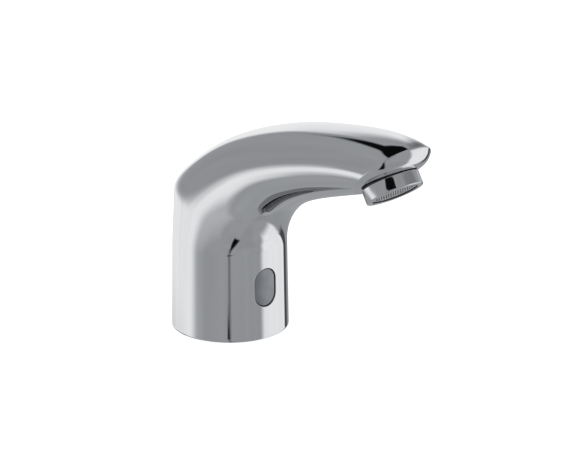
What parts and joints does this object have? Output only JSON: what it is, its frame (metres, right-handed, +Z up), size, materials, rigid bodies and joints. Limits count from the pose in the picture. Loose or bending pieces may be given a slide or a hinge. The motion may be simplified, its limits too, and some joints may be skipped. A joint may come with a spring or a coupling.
{
  "type": "sensor tap",
  "caption": "Deck-mounted sensor tap: round column turning over into a tapering oval spout, aerator under the slanted nose, oblong sensor window low on the front, solenoid valve inside.",
  "frame": {"origin": "centre of the round column on the deck", "axes": "+Z up, the spout points along -Y, X = 0 is the plane of symmetry of the casting"},
  "size_m": [0.055, 0.1558, 0.118],
  "materials": {
    "chrome": "polished",
    "grey_plastic": "moulded",
    "white_plastic": "moulded",
    "black_plastic": "moulded",
    "steel": "machined",
    "copper": "drawn",
    "brass": "machined",
    "rubber": "moulded",
    "smoked_lens": "satin",
    "led": "clear",
    "board": "solder mask"
  },
  "bodies": {
    "tap": {"body_shell": "chrome", "aerator_sleeve": "chrome", "aerator_insert": "grey_plastic", "jet_plate": "white_plastic", "aerator_screen": "steel", "aerator_gasket": "rubber", "spout_tube": "copper", "tube_o_rings": "rubber", "sensor_lens": "smoked_lens", "lens_gasket": "rubber", "sensor_housing": "black_plastic", "ir_emitter": "led", "ir_receiver": "led", "sensor_board": "board", "board_components": "black_plastic", "sensor_cover": "black_plastic", "sensor_cover_screws": "steel", "sensor_bracket": "steel", "bracket_screws": "steel", "sensor_lead": "black_plastic", "coil_plug": "white_plastic", "coil_terminals": "steel", "base_plate": "brass", "base_gasket": "rubber", "base_screws": "steel", "cable_grommet": "rubber", "inlet_strainer": "steel", "check_cage": "white_plastic", "check_spring": "steel", "valve_body": "brass", "valve_screws": "steel", "piston_spring": "steel", "bonnet": "brass", "bonnet_gasket": "rubber", "bonnet_screws": "steel", "core_tube": "steel", "pole_piece": "steel", "plunger_spring": "steel", "coil_bobbin": "black_plastic", "coil_winding": "copper", "coil_yoke": "steel", "coil_nut": "steel"},
    "plunger": {"plunger": "steel", "plunger_tip": "rubber"},
    "piston": {"main_piston": "white_plastic", "piston_seal": "rubber"},
    "poppet": {"check_poppet": "white_plastic", "poppet_seal": "rubber"}
  },
  "joints": [
    {"name": "plunger_slide", "type": "slide", "parent": "tap", "child": "plunger", "axis": [0, 0, 1], "range_m": [0, 0.003], "stiffness_N_per_m": 200, "springref_m": -0.005, "deforming": ["plunger_spring"]},
    {"name": "piston_slide", "type": "slide", "parent": "tap", "child": "piston", "axis": [0, 0, 1], "range_m": [0, 0.002], "stiffness_N_per_m": 100, "springref_m": -0.005, "deforming": ["piston_spring"]},
    {"name": "check_slide", "type": "slide", "parent": "tap", "child": "poppet", "axis": [0, 0, 1], "range_m": [0, 0.002], "stiffness_N_per_m": 50, "springref_m": -0.003, "deforming": ["check_spring"]}
  ],
  "couplings": [
    {"joint": "piston_slide", "follows": "plunger_slide", "ratio": 0.6666}
  ]
}
